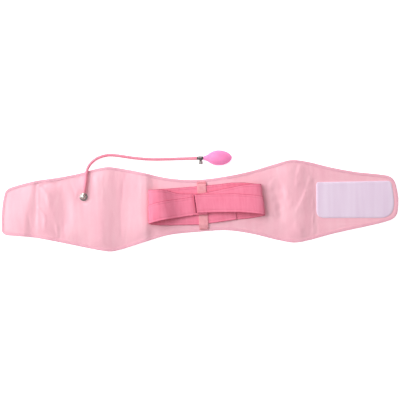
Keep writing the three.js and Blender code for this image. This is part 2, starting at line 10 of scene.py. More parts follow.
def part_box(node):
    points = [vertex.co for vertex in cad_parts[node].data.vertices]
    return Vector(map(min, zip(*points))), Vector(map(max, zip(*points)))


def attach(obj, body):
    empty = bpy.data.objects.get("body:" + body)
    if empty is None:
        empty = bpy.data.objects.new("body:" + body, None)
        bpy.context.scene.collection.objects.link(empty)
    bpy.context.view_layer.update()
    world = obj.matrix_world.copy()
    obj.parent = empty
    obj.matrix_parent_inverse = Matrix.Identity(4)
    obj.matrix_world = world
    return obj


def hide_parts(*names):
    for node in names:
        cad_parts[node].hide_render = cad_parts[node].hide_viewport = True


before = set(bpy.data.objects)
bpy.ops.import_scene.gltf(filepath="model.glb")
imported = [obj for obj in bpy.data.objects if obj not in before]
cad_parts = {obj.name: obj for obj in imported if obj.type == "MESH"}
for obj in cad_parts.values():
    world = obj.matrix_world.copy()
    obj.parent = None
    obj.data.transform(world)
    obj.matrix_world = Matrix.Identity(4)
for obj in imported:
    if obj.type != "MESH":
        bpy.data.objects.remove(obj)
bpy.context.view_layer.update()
mm = 0.001  # the pieces' tables are in millimetres, the camera's and the stage's in metres
print("frame loaded:", len(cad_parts), "nodes")


# Camera first: the photograph looks straight down, with the belt turned about two degrees in the picture
shot = {"distance": 3.0, "fieldWidth": 1.058, "centre": (0.00143, 0.01516), "roll": -2.02, "sensor": 36.0}

cameraData = bpy.data.cameras.new("camera")
cameraData.sensor_width = shot["sensor"]
cameraData.lens = shot["sensor"] * shot["distance"] / shot["fieldWidth"]
camera = bpy.data.objects.new("camera", cameraData)
camera.location = (*shot["centre"], shot["distance"])
camera.rotation_euler = (0, 0, math.radians(shot["roll"]))
bpy.context.collection.objects.link(camera)
bpy.context.scene.camera = camera
bpy.context.scene.view_settings.view_transform = "Standard"
print("camera set")


# Small helpers
def clamp(value):
    return min(max(value, 0.0), 1.0)


def smooth(value):
    t = clamp(value)
    return t * t * (3 - 2 * t)


def ease(value, start, end):  # 0 before start, 1 after end, a smooth rise between them
    return smooth((value - start) / (end - start))


def mix(a, b, share):
    return a + (b - a) * share


def ripple(x, y, depth, sizeX, sizeY, seed):  # smooth noise of this depth, its waves of these sizes
    return depth * noise.noise((x / sizeX, y / sizeY, seed))


def linear(hexColour):  # sRGB hex to the linear colour that sockets take
    parts = [int(hexColour[i:i + 2], 16) / 255 for i in (1, 3, 5)]
    return [p / 12.92 if p <= 0.04045 else ((p + 0.055) / 1.055) ** 2.4 for p in parts] + [1.0]


def turned(degrees, axis):
    return Matrix.Rotation(math.radians(degrees), 4, axis)


def shifted(x, y, z):  # mm
    return Matrix.Translation(Vector((x, y, z)) * mm)


def runPoint(points, t):  # a point on a smooth curve through all the points, t from 0 to 1
    last = len(points) - 1
    at = clamp(t) * last
    i = min(int(at), last - 1)
    w = at - i
    p1, p2 = points[i], points[i + 1]
    p0 = points[i - 1] if i > 0 else 2 * p1 - p2
    p3 = points[i + 2] if i + 2 <= last else 2 * p2 - p1
    d0, d1, d2 = [max((b - a).length, 1e-6) ** 0.5 for a, b in ((p0, p1), (p1, p2), (p2, p3))]
    m1 = ((p1 - p0) / d0 - (p2 - p0) / (d0 + d1) + (p2 - p1) / d1) * d1
    m2 = ((p2 - p1) / d1 - (p3 - p1) / (d1 + d2) + (p3 - p2) / d2) * d1
    return p1 + m1 * w + (3 * (p2 - p1) - 2 * m1 - m2) * w ** 2 + (2 * (p1 - p2) + m1 + m2) * w ** 3


def runPoints(points, count):
    return [runPoint(points, i / count) for i in range(count + 1)]


def bendPoint(start, pull, end, t):  # a rounded corner from start to end, pulled towards a point
    return start * (1 - t) ** 2 + pull * 2 * t * (1 - t) + end * t ** 2


def runningLengths(points):  # the line's length up to each of its points
    sums = [0.0]
    for a, b in zip(points, points[1:]):
        sums.append(sums[-1] + (b - a).length)
    return sums


def lineLength(points):
    return runningLengths(points)[-1]


def evenPoints(points, count, closed=False):  # the same line with its points at equal steps
    line = list(points) + ([points[0]] if closed else [])
    sums = runningLengths(line)
    made, k = [], 0
    for i in range(count if closed else count + 1):
        want = sums[-1] * i / count
        while k < len(line) - 2 and sums[k + 1] < want:
            k += 1
        share = (want - sums[k]) / max(sums[k + 1] - sums[k], 1e-9)
        made.append(line[k].lerp(line[k + 1], clamp(share)))
    return made


def blendSides(sides, column, row):  # a point of the grid that four sides span
    bottom, top, left, right = [sides[name] for name in ("bottom", "top", "left", "right")]
    u, v = column / (len(bottom) - 1), row / (len(left) - 1)
    return (bottom[column] * (1 - v) + top[column] * v + left[row] * (1 - u) + right[row] * u
            - bottom[0] * (1 - u) * (1 - v) - bottom[-1] * u * (1 - v)
            - top[0] * (1 - u) * v - top[-1] * u * v)


def mappedGrid(columns, rows, place):  # a grid moved into place; place gives x, y, z, u, v in mm
    bm = bmesh.new()
    bmesh.ops.create_grid(bm, x_segments=columns, y_segments=rows, size=0.5)
    uvLayer = bm.loops.layers.uv.new("UVMap")
    for label in ("column", "row", "back"):
        bm.verts.layers.int.new(label)
    columnOf, rowOf = [bm.verts.layers.int[label] for label in ("column", "row")]
    uvOf = {}
    for vert in bm.verts:
        column, row = round((vert.co.x + 0.5) * columns), round((vert.co.y + 0.5) * rows)
        vert[columnOf], vert[rowOf] = column, row
        x, y, z, u, v = place(column, row)
        vert.co = Vector((x, y, z)) * mm
        uvOf[vert] = (u * mm, v * mm)
    for face in bm.faces:
        for loop in face.loops:
            loop[uvLayer].uv = uvOf[loop.vert]
    return bm


def addBack(bm, place):  # closes a mapped grid into a solid, with its back where place puts it
    columnOf, rowOf, backOf = [bm.verts.layers.int[label] for label in ("column", "row", "back")]
    done = bmesh.ops.extrude_face_region(bm, geom=list(bm.faces))
    for vert in [g for g in done["geom"] if isinstance(g, bmesh.types.BMVert)]:
        vert.co = Vector(place(vert[columnOf], vert[rowOf])[:3]) * mm
        vert[backOf] = 1
    bmesh.ops.recalc_face_normals(bm, faces=list(bm.faces))


def turnedShell(bm, profile, matrix, steps):  # turns a profile of (along, radius) about the X axis of matrix
    before = set(bm.verts)
    verts = [bm.verts.new((along * mm, 0, radius * mm)) for along, radius in profile]
    edges = [bm.edges.new(pair) for pair in zip(verts, verts[1:])]
    bmesh.ops.spin(bm, geom=verts + edges, axis=(1, 0, 0), cent=(0, 0, 0), steps=steps,
                   angle=2 * math.pi, use_merge=True)
    made = [v for v in bm.verts if v not in before]
    bmesh.ops.remove_doubles(bm, verts=made, dist=1e-6)
    bmesh.ops.transform(bm, matrix=matrix, verts=[v for v in made if v.is_valid])
    bmesh.ops.recalc_face_normals(bm, faces=list(bm.faces))


def linkMesh(name, bm, material):
    mesh = bpy.data.meshes.new(name)
    bm.to_mesh(mesh)
    bm.free()
    mesh.materials.append(material)
    made = bpy.data.objects.new(name, mesh)
    bpy.context.collection.objects.link(made)
    return made


def makePiece(name, bm, material, node=None, body="belt", crisp=None):
    for face in bm.faces:
        face.smooth = True
    piece = linkMesh(name, bm, material)
    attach(piece, body)
    if node:
        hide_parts(node)
    if crisp:  # edges sharper than this many degrees stay sharp
        piece.modifiers.new("edge_split", "EDGE_SPLIT").split_angle = math.radians(crisp)
    return piece


# Materials
def addNode(owner, kind, inputs=None, out=None, stops=(), **settings):
    # one node with its settings, its inputs set or linked, a ramp's stops; gives the output that is named
    node = owner.node_tree.nodes.new("ShaderNode" + kind)
    for key, value in settings.items():
        setattr(node, key, value)
    for key, value in (inputs or {}).items():
        if isinstance(value, bpy.types.NodeSocket):
            owner.node_tree.links.new(value, node.inputs[key])
        else:
            node.inputs[key].default_value = value
    elements = node.color_ramp.elements if stops else []
    while len(elements) < len(stops):
        elements.new(0.5)
    for element, (position, hexColour) in zip(elements, stops):
        element.position = position
        element.color = linear(hexColour)
    return node if out is None else node.outputs[out]


def startMaterial(name, coordinates):  # a new material, what adds its nodes, and its coordinates
    mat = bpy.data.materials.new(name)
    mat.use_nodes = True
    mat.node_tree.nodes.clear()
    add = partial(addNode, mat)
    return mat, add, add("TexCoord", out=coordinates)


def closeMaterial(mat, shaderInputs):
    shader = addNode(mat, "BsdfPrincipled", shaderInputs, "BSDF")
    addNode(mat, "OutputMaterial", {"Surface": shader})
    return mat


def polyesterSatin():
    # warp-faced polyester satin: a soft sheen, slightly mottled pink, and threads too fine to see one by one
    mat, add, place = startMaterial("polyester satin, pink", "Object")
    mottle = add("TexNoise", {"Vector": place, "Scale": 14.0, "Detail": 4.0, "Roughness": 0.55},
                 "Fac")  # about 70 mm
    stretch = add("Mapping", {"Vector": place, "Scale": (60.0, 9.0, 9.0)}, "Vector")  # 17 by 110 mm
    streak = add("TexNoise", {"Vector": stretch, "Scale": 1.0, "Detail": 3.0}, "Fac")
    both = add("Math", {0: mottle, 1: streak}, "Value", operation="ADD")
    half = add("Math", {0: both, 1: 0.5}, "Value", operation="MULTIPLY")
    colour = add("ValToRGB", {"Fac": half}, "Color",
                 stops=[(0.3, "#f3b0c0"), (0.5, "#f7b9c7"), (0.7, "#fac2ce")])
    # threads drawn at 0.9 mm, three times the real spacing, so that a close view still shows them
    threads = 350.0
    warp = add("TexWave", {"Vector": place, "Scale": threads, "Distortion": 0.6}, "Fac",
               bands_direction="Y")
    turn = add("Mapping", {"Vector": place, "Rotation": (0, 0, math.radians(45))}, "Vector")
    twill = add("TexWave", {"Vector": turn, "Scale": threads, "Distortion": 0.4}, "Fac",
                bands_direction="X")
    weave = add("Math", {0: warp, 1: twill}, "Value", operation="ADD")
    fine = add("Bump", {"Height": weave, "Strength": 0.12, "Distance": 0.0002}, "Normal")
    crumple = add("TexNoise", {"Vector": place, "Scale": 120.0, "Detail": 5.0, "Roughness": 0.6},
                  "Fac")  # about 8 mm
    rough = add("Bump", {"Height": crumple, "Strength": 0.22, "Distance": 0.0015, "Normal": fine}, "Normal")
    gloss = add("MapRange", {"Value": mottle, "To Min": 0.36, "To Max": 0.5}, "Result")
    return closeMaterial(mat, {"Base Color": colour, "Roughness": gloss, "Normal": rough,
                               "Specular IOR Level": 0.55, "Sheen Weight": 0.08, "Sheen Roughness": 0.45,
                               "Sheen Tint": linear("#ffe3ea")})


def bindingTape():
    # folded polyester tape: fine ribs square to the edge, a shade deeper than the satin
    mat, add, uv = startMaterial("polyester binding tape, pink", "UV")
    rib = add("TexWave", {"Vector": uv, "Scale": 220.0, "Distortion": 0.5}, "Fac",
              bands_direction="X")  # 1.4 mm ribs, drawn coarse
    shade = add("TexNoise", {"Vector": uv, "Scale": 60.0, "Detail": 3.0}, "Fac")  # 17 mm
    colour = add("ValToRGB", {"Fac": shade}, "Color", stops=[(0.3, "#eeacbe"), (0.7, "#f2b6c5")])
    bump = add("Bump", {"Height": rib, "Strength": 0.3, "Distance": 0.0003}, "Normal")
    return closeMaterial(mat, {"Base Color": colour, "Roughness": 0.62, "Normal": bump,
                               "Specular IOR Level": 0.3, "Sheen Weight": 0.06, "Sheen Roughness": 0.5})


def hookTape():
    # moulded nylon hook tape: pale, slightly translucent and matt, with faint bands along the loom
    mat, add, place = startMaterial("nylon hook tape, pale lilac", "Object")
    stretch = add("Mapping", {"Vector": place, "Scale": (34.0, 3.0, 3.0)}, "Vector")  # 30 by 330 mm
    bands = add("TexNoise", {"Vector": stretch, "Scale": 1.0, "Detail": 2.0}, "Fac")
    colour = add("ValToRGB", {"Fac": bands}, "Color", stops=[(0.35, "#efd7ed"), (0.65, "#f7e3f6")])
    grain = add("TexNoise", {"Vector": place, "Scale": 900.0, "Detail": 2.0}, "Fac")  # 1 mm
    bump = add("Bump", {"Height": grain, "Strength": 0.3, "Distance": 0.0003}, "Normal")
    return closeMaterial(mat, {"Base Color": colour, "Roughness": 0.75, "Normal": bump,
                               "Specular IOR Level": 0.3})


def wovenElastic():
    # woven elastic: rubber cords run along the band under a polyester weft, with a denser line and a selvedge
    # beside each edge; their thin darker lines are painted shade, for the shade in the edge grooves and along
    # the edges
    mat, add, uv = startMaterial("woven elastic, coral pink", "UV")
    halfWidth = 0.0245  # of the band, metres as in its UV map
    cords = add("TexWave", {"Vector": uv, "Scale": 200.0, "Distortion": 0.2}, "Fac",
                bands_direction="Y")  # cords 1.6 mm apart
    weft = add("TexWave", {"Vector": uv, "Scale": 130.0, "Distortion": 0.8}, "Fac",
               bands_direction="X")  # 2.4 mm, drawn coarser than the real weft
    weave = add("Math", {0: cords, 1: weft}, "Value", operation="ADD")
    stretch = add("Mapping", {"Vector": uv, "Scale": (150.0, 25.0, 1.0)}, "Vector")  # 7 by 40 mm
    streak = add("TexNoise", {"Vector": stretch, "Scale": 1.0, "Detail": 2.0}, "Fac")
    tone = add("ValToRGB", {"Fac": streak}, "Color",
               stops=[(0.3, "#f27e9a"), (0.5, "#f585a1"), (0.7, "#f88ba6")])
    across = add("SeparateXYZ", {"Vector": uv}, "Y")
    side = add("Math", {0: across}, "Value", operation="ABSOLUTE")
    share = add("Math", {0: side, 1: halfWidth}, "Value", operation="DIVIDE")
    # painted shade: darker at each edge groove and at the band's two edges
    edgeShade = add("ValToRGB", {"Fac": share}, "Color",
                stops=[(0.0, "#ffffff"), (0.71, "#ffffff"), (0.74, "#e9dde0"), (0.77, "#ffffff"),
                       (0.935, "#ffffff"), (0.965, "#dcbac2"), (1.0, "#d0a5b0")])
    colour = add("Mix", {0: 1.0, 6: tone, 7: edgeShade}, 2, data_type="RGBA", blend_type="MULTIPLY")
    bump = add("Bump", {"Height": weave, "Strength": 0.25, "Distance": 0.0003}, "Normal")
    return closeMaterial(mat, {"Base Color": colour, "Roughness": 0.68, "Normal": bump,
                               "Specular IOR Level": 0.3, "Sheen Weight": 0.03, "Sheen Roughness": 0.5,
                               "Sheen Tint": linear("#ffd0da")})


def keeperWebbing():
    # plain polyester webbing: coarse cross ribs, peach
    mat, add, uv = startMaterial("polyester webbing, peach", "UV")
    ribs = add("TexWave", {"Vector": uv, "Scale": 170.0, "Distortion": 0.6}, "Fac",
               bands_direction="Y")  # 1.8 mm ribs
    shade = add("TexNoise", {"Vector": uv, "Scale": 120.0, "Detail": 4.0}, "Fac")  # 8 mm
    colour = add("ValToRGB", {"Fac": shade}, "Color", stops=[(0.3, "#ea97a3"), (0.7, "#f5abb3")])
    bump = add("Bump", {"Height": ribs, "Strength": 0.4, "Distance": 0.0004}, "Normal")
    return closeMaterial(mat, {"Base Color": colour, "Roughness": 0.7, "Normal": bump,
                               "Specular IOR Level": 0.3})


def sewingThread(name, hexColour):
    # twisted polyester thread: a small bright line with a little gloss
    mat, add, place = startMaterial(name, "Object")
    twist = add("TexNoise", {"Vector": place, "Scale": 1500.0, "Detail": 1.0}, "Fac")  # 0.7 mm
    bump = add("Bump", {"Height": twist, "Strength": 0.2, "Distance": 0.0002}, "Normal")
    return closeMaterial(mat, {"Base Color": linear(hexColour), "Roughness": 0.5, "Normal": bump})


def nickelPlate(name, hexColour):
    # nickel on turned brass: sharp reflections with faint turning marks and dull spots
    mat, add, place = startMaterial(name, "Object")
    spots = add("TexNoise", {"Vector": place, "Scale": 260.0, "Detail": 4.0}, "Fac")  # 4 mm
    gloss = add("MapRange", {"Value": spots, "From Min": 0.3, "From Max": 0.7, "To Min": 0.2, "To Max": 0.34},
                "Result")
    bump = add("Bump", {"Height": spots, "Strength": 0.05, "Distance": 0.0003}, "Normal")
    return closeMaterial(mat, {"Base Color": linear(hexColour), "Metallic": 1.0, "Roughness": gloss,
                               "Normal": bump})


def mouldedRubber(name, low, high, roughness, depth, glow, glowColour):
    # moulded PVC rubber: even colour, a soft broad highlight and a faint bloom; light from the table shines
    # through its thin wall, which the glow stands for
    mat, add, place = startMaterial(name, "Object")
    bloom = add("TexNoise", {"Vector": place, "Scale": 70.0, "Detail": 4.0}, "Fac")  # 14 mm
    grain = add("TexNoise", {"Vector": place, "Scale": 1200.0, "Detail": 2.0}, "Fac")  # 0.8 mm
    colour = add("ValToRGB", {"Fac": bloom}, "Color", stops=[(0.3, low), (0.7, high)])
    gloss = add("MapRange", {"Value": bloom, "To Min": roughness - 0.06, "To Max": roughness + 0.08},
                "Result")
    bump = add("Bump", {"Height": grain, "Strength": 0.06, "Distance": 0.0003}, "Normal")
    return closeMaterial(mat, {"Base Color": colour, "Roughness": gloss, "Normal": bump, "IOR": 1.5,
                               "Specular IOR Level": 0.3, "Subsurface Weight": depth,
                               "Subsurface Radius": (0.02, 0.012, 0.014), "Subsurface Scale": 1.0,
                               "Emission Color": linear(glowColour), "Emission Strength": glow})


def tablePaint():
    # matt white light table: its own faint glow washes the shadows out, as on a cut-out picture
    mat, add, place = startMaterial("matt white table", "Object")
    cloud = add("TexNoise", {"Vector": place, "Scale": 3.0, "Detail": 2.0}, "Fac")  # 330 mm
    colour = add("ValToRGB", {"Fac": cloud}, "Color", stops=[(0.3, "#fdfdfd"), (0.7, "#ffffff")])
    return closeMaterial(mat, {"Base Color": colour, "Roughness": 0.9, "Specular IOR Level": 0.1,
                               "Emission Color": linear("#ffffff"), "Emission Strength": 0.6})


satin = polyesterSatin()
tape = bindingTape()
hook = hookTape()
elastic = wovenElastic()
webbing = keeperWebbing()
nickel = nickelPlate("bright nickel plate", "#d6d0c8")
darkNickel = nickelPlate("dark nickel plate", "#6e6b69")
greyNickel = nickelPlate("grey nickel plate", "#979390")
tubeRubber = mouldedRubber("PVC tube, rose pink", "#ea879d", "#f09aad", roughness=0.42, depth=0.1,
                           glow=0.05, glowColour="#f09aad")
bulbRubber = mouldedRubber("PVC bulb, candy pink", "#d06c98", "#d976a2", roughness=0.55, depth=0.7,
                           glow=0.38, glowColour="#ff9dd6")
pinkThread = sewingThread("polyester thread, pink", "#f4b6c6")
coralThread = sewingThread("polyester thread, coral", "#e8939e")
# painted shadow: a dark coral for the shaded slit beside the end of the right tips
tipShadeThread = sewingThread("painted tip shade, deep coral thread", "#a33b57")
paleThread = sewingThread("polyester thread, pale lilac", "#d9bfd6")
table = tablePaint()
print("materials made")


# Air tube: a free cord from the elbow to the valve, on the route that the solids follow
airTube = {
    "route": [(-303, 45, 19.6), (-300.5, 58, 19.3), (-297, 76, 17.4), (-296, 92, 14.3),
              (-293.5, 103.5, 11.6), (-289, 114, 8.3), (-280.5, 124.5, 5.6), (-268.5, 133.5, 4.3),
              (-254, 139, 4.1), (-238, 142, 4.1), (-222, 141.5, 4.1), (-206, 139, 4.1), (-185, 135, 4.1),
              (-164, 131.5, 4.1), (-138, 128.3, 4.1), (-111, 126.6, 4.1), (-79, 126.2, 4.1), (-50, 126, 4.4),
              (-25, 125.8, 6.3), (-2.2, 125.7, 10)],
    "diameter": 8.0, "steps": 120,
    "flare": 0.16, "flareLength": 36.0,  # the ends are stretched over the barbs inside them
}


def makeTube():
    route = [Vector(p) for p in airTube["route"]]
    line = evenPoints(runPoints(route, 600), airTube["steps"])
    whole = lineLength(line)
    curve = bpy.data.curves.new("air_tube_rubber", "CURVE")
    curve.dimensions = "3D"
    curve.bevel_depth = airTube["diameter"] / 2 * mm
    curve.bevel_resolution = 5
    curve.use_fill_caps = True
    spline = curve.splines.new("POLY")
    spline.points.add(len(line) - 1)
    for i, (point, at) in enumerate(zip(spline.points, line)):
        toEnd = min(i, len(line) - 1 - i) / (len(line) - 1) * whole
        point.co = (*(at * mm), 1)
        point.radius = 1 + airTube["flare"] * (1 - smooth(toEnd / airTube["flareLength"]))
    spline.use_smooth = True
    piece = bpy.data.objects.new("air_tube_rubber", curve)
    bpy.context.collection.objects.link(piece)
    curve.materials.append(tubeRubber)
    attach(piece, "belt")
    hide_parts("air_tube")
    print("tube length, mm:", round(whole, 1))
    return piece, whole


tubePiece, tubeLength = makeTube()


# Pump: valve, release screw and bulb lie on one axis, with the bulb's closed end raised
pump = {"neck": (15, 125.2, 13.3), "pitch": 10.0, "yaw": -1.6, "screwAt": -8.0}
pumpPlace = shifted(*pump["neck"]) @ turned(pump["yaw"], "Z") @ turned(-pump["pitch"], "Y")
screwPlace = pumpPlace @ shifted(pump["screwAt"], 0, 0) @ turned(-90, "Z")

bulb = {
    # from the neck to the closed end: along, radius
    "profile": [(0, 0), (0, 4.2), (0.3, 4.8), (0.9, 5.05), (2.4, 5.35), (2.8, 5.75), (4.2, 6.05), (4.7, 5.95),
                (6, 6.6), (8, 7.6), (10.2, 8.9), (12.5, 10.4), (15, 12.1), (18, 14), (22, 16.2), (27, 18.2),
                (32.5, 19.5), (38, 20), (43.5, 19.9), (49, 19.3), (54.5, 18), (60, 16), (64.3, 13.8),
                (68, 11.3), (70.9, 8.7), (73, 6), (74.1, 4.1), (74.2, 3.4), (74.7, 2.3), (75, 1.1), (75, 0)],
}
valve = {
    "barrel": [(-17, 0), (-17, 4.0), (-16.8, 4.3), (-15.6, 4.3), (-15.3, 3.9), (-14.9, 3.9), (-14.6, 4.3),
               (-14.2, 4.5), (-13.5, 5), (-11.9, 5), (-11.6, 4.7), (-11.2, 4.7), (-10.9, 5), (-5.1, 5),
               (-4.8, 4.7), (-4.4, 4.7), (-4.1, 5), (-3, 5), (-2.4, 4.6), (-2, 4.3), (-0.5, 4.3), (-0.3, 4.1),
               (-0.3, 0)],
    "boss": [(2.5, 0), (2.5, 3.6), (6.6, 3.6), (7.1, 3.4), (7.4, 3.1), (7.4, 1.9), (5.5, 1.9), (5.5, 0)],
}
screw = {
    "stem": [(6, 0), (6, 1.5), (8.4, 1.5), (8.4, 0)],
    "collar": [(7.75, 0), (7.75, 3.0), (8.0, 3.3), (8.6, 3.3), (8.8, 3.0), (8.8, 0)],
    "grip": {"from": 8.6, "to": 16.4, "radius": 5.0, "groove": 0.35, "teeth": 22},
    "ends": {"chamfer": 0.7, "crown": 0.56, "rim": 1.1, "dish": 0.35},
}


def makeBulb():
    bm = bmesh.new()
    turnedShell(bm, bulb["profile"], pumpPlace, steps=64)
    return makePiece("pump_bulb_rubber", bm, bulbRubber, "pump_bulb")


def makeValve():
    bm = bmesh.new()
    turnedShell(bm, valve["barrel"], pumpPlace, steps=48)
    turnedShell(bm, valve["boss"], screwPlace, steps=40)
    return makePiece("pump_valve_body", bm, darkNickel, "pump_valve", crisp=38)


def makeScrew():
    grip, ends = screw["grip"], screw["ends"]
    length, radius = grip["to"] - grip["from"], grip["radius"] * mm
    count = 2 * grip["teeth"]
    bm = bmesh.new()
    made = bmesh.ops.create_cone(bm, cap_ends=True, segments=count, radius1=radius, radius2=radius,
                                 depth=length * mm)
    for vert in made["verts"]:
        angle = math.atan2(vert.co.y, vert.co.x)
        if round(angle / (2 * math.pi) * count) % 2:
            vert.co.xy *= 1 - grip["groove"] / grip["radius"]
    caps = [f for f in bm.faces if len(f.verts) > 4]
    for inset, rise in ((ends["chamfer"], ends["crown"]), (ends["rim"], -ends["dish"])):
        bmesh.ops.inset_region(bm, faces=caps, thickness=inset * mm, depth=0)
        for face in caps:
            out = face.normal.copy()
            for vert in face.verts:
                vert.co += out * rise * mm
    along = shifted((grip["from"] + grip["to"]) / 2, 0, 0) @ turned(90, "Y")
    shrink = Matrix.Diagonal((1, 1, (length - 2 * ends["crown"]) / length, 1))
    bmesh.ops.transform(bm, matrix=screwPlace @ along @ shrink, verts=list(bm.verts))
    turnedShell(bm, screw["stem"], screwPlace, steps=24)
    turnedShell(bm, screw["collar"], screwPlace, steps=40)
    return makePiece("release_screw_knob", bm, greyNickel, "release_screw", body="screw",
                     crisp=28)


bulbPiece = makeBulb()
valvePiece = makeValve()
screwPiece = makeScrew()
print("pump made")


# Panel outline, the same stations as the solids have
outline = {
    # x, top edge and bottom edge from the belt's axis
    "stations": [(-478, 71, 63.5), (-430, 81, 70.5), (-368, 88, 84.5), (-310, 97.5, 98.5), (-268, 107.5, 108),
                 (-238, 111, 112.5), (-208, 106.5, 107.5), (-148, 93, 90.5), (-84, 76.5, 74.5), (-10, 69, 69),
                 (70, 75, 67.5), (140, 87, 80), (200, 102.5, 97), (246, 112.5, 106), (286, 107, 101),
                 (346, 90.5, 87), (410, 76, 75), (470, 67.5, 64)],
    "leftEnd": [(-525, -44), (-524, -12), (-519, 28), (-513.5, 50)],
    "rightEnd": [(522.5, -33), (525, -9), (524, 16), (520, 38)],
    # where each rounded corner meets a long edge, and the point it is pulled towards
    "bottomLeft": ((-507, -60.5), (-525.5, -59)),
    "bottomRight": ((497, -57.5), (519, -51.5)),
    "topRight": ((492, 64), (514.5, 61)),
    "topLeft": ((-495, 66.5), (-510, 62)),
    "grid": (400, 90), "points": 1600,  # fineness of the loop that distances from the edge are measured to
}


def cornerPoint(end, corner, t):
    edge, pull = outline[corner]
    return bendPoint(Vector(end), Vector(pull), Vector(edge), t)


def flatCurve(points, count):
    raised = [Vector((*p, 0)) for p in points]
    return [p.xy for p in evenPoints(runPoints(raised, count * 4), count)]


def outlineSides(columns, rows, cornerSteps=6):
    left, right = outline["leftEnd"], outline["rightEnd"]
    starts = [i / cornerSteps / 2 for i in range(cornerSteps)]  # half of a corner, without its last point
    stops = [s + 0.5 / cornerSteps for s in starts]  # the same half without its first point
    sides = {}
    for side, sign, column, end in (("bottom", -1, 2, 0), ("top", 1, 1, -1)):
        stations = [(s[0], sign * s[column]) for s in outline["stations"]]
        edge = flatCurve([outline[side + "Left"][0], *stations, outline[side + "Right"][0]],
                         columns - 2 * cornerSteps)
        sides[side] = ([cornerPoint(left[end], side + "Left", 0.5 + s) for s in starts] + edge
                       + [cornerPoint(right[end], side + "Right", 1 - s) for s in stops])
    for side, points in (("Left", left), ("Right", right)):
        sides[side.lower()] = ([cornerPoint(points[0], "bottom" + side, 0.5 - s) for s in starts]
                               + flatCurve(points, rows - 2 * cornerSteps)
                               + [cornerPoint(points[-1], "top" + side, s) for s in stops])
    return sides


def closedLoop(sides):  # counter-clockwise from the bottom left corner
    return sides["bottom"][:-1] + sides["right"][:-1] + sides["top"][:0:-1] + sides["left"][:0:-1]


def insetLoop(loop, distance):
    moved = []
    for i, point in enumerate(loop):
        along = (loop[(i + 1) % len(loop)] - loop[i - 1]).normalized()
        moved.append(point + Vector((-along.y, along.x)) * distance)
    return moved


edgeLoop = evenPoints(closedLoop(outlineSides(*outline["grid"])), outline["points"], closed=True)
edgeTree = kdtree.KDTree(len(edgeLoop))
for index, point in enumerate(edgeLoop):
    edgeTree.insert((*point, 0), index)
edgeTree.balance()


# Padded panel
panel = {
    "columns": 470, "rows": 96,
    "hem": 7.0, "wall": 1.3, "hemThickness": 3.1, "padThickness": 7.0, "tabThickness": 4.4,
    "bead": (0.17, 1.0), "puff": 24.0,  # a quick rise beside the lip: share, width; then the slow swell
    "paddedFrom": (-480, -400), "paddedTo": (225, 305),
    # long soft waves: crest at the top and bottom, its bow, rise on its left, fall on its right, lift
    "waves": [(-436, -477, 0, 60, 17, 7.5), (-396, -402, 0, 38, 30, 7.0), (-365, -365, 41, 20, 55, 4.0),
              (-253, -260, 0, 50, 34, 7.0), (-140, -148, 0, 35, 15, 6.6), (232, 244, 19, 24, 38, 4.2),
              (268, 264, 10, 9, 22, 0.7)],
    "waveSpan": 100,  # a crest's top and bottom are this far from the belt's axis
    # share of a wave that reaches the hem, less where the tube crosses it: x, width, share
    "hemShare": 0.8, "waveFade": 40.0, "crossing": (-291, 45, 0.35),
    # short creases: from, to, width on the left, width on the right, height
    "creases": [((-423, 73), (-429, -62), 3, 4, 0.75), ((-423, 72), (-400, 45), 4, 6, 1.8),
                ((-400, 45), (-396, 10), 4, 8, 1.4), ((-425, 10), (-409, -15), 3, 5, 1.5),
                ((-409, -15), (-410, -47), 4, 5, 1.3), ((-377, -40), (-376, -75), 5, 6, 1.4),
                ((-366, -62), (-365, -80), 4, 4, 1.0), ((-424, 68), (-362, 75), 7, 6, -1.3),
                ((-255, 69), (-260, -95), 12, 6, 0.9), ((-273, 96), (-266, 25), 6, 7, 0.7),
                ((267, 98), (256, 44), 5, 16, 1.3), ((294, 64), (282, 27), 4, 16, 1.4),
                ((282, 27), (257, -21), 5, 18, 1.8), ((212, 83), (228, 34), 5, 12, 1.2),
                ((228, 34), (237, -12), 6, 12, 1.2), ((302, 23), (296, -80), 3, 9, 1.1),
                ((195, 1), (201, -34), 3, 8, 1.1), ((248, -57), (274, -98), 9, 10, 1.2),
                ((344, -61), (417, -66), 4, 4, 0.6), ((146, -60), (145, -75), 3, 4, 0.7),
                ((206, 48), (211, -46), 25, 12, -3.0)],
    # noise: depth, its size along x and y, seed; a crease wanders sideways and fades along its length
    "wander": (2.2, 24, 24, 9.0), "fading": (0.5, 17, 17, 4.0),
    "cloth": [(0.7, 34, 120, 3.1), (0.35, 15, 46, 7.7)], "reliefFade": 8,
    "pucker": (0.45, 9, 9, 1.3), "puckerAt": 4, "puckerWidth": 9,  # gathers beside the seam
    "inlet": (-305, 34), "inletLift": 4.0, "seat": (11, 25),
    # what lies on the cloth and holds it flat: x from and to, y from and to, fade; then round the inlet
    "held": [(-138, 172, -52, 60, 16), (-8, 24, -64, 66, 10), (306, 516, -54, 56, 10)], "inletHeld": (11, 21),
}


def inletDistance(x, y):
    return math.hypot(x - panel["inlet"][0], y - panel["inlet"][1])


def waveLift(x, y):
    lift, span = 0, panel["waveSpan"]
    for top, bottom, bow, rise, fall, height in panel["waves"]:
        crest = mix(bottom, top, (y + span) / (2 * span)) + bow * (1 - (y / span) ** 2)
        reach = (x - crest) / (rise if x < crest else fall)
        lift += height * math.exp(-reach * reach)
    return mix(panel["inletLift"], lift, ease(inletDistance(x, y), *panel["seat"]))


def hemShare(x, y):
    crossX, width, share = panel["crossing"]
    crossed = math.exp(-((x - crossX) / width) ** 2) if y > 0 else 0
    return mix(panel["hemShare"], share, crossed)


def freedom(x, y):  # 0 where something lies on the cloth and holds it flat, 1 where it is free
    free = ease(inletDistance(x, y), *panel["inletHeld"])
    for x0, x1, y0, y1, fade in panel["held"]:
        outside = math.hypot(max(x0 - x, 0, x - x1), max(y0 - y, 0, y - y1))
        free = min(free, smooth(outside / fade))
    return free


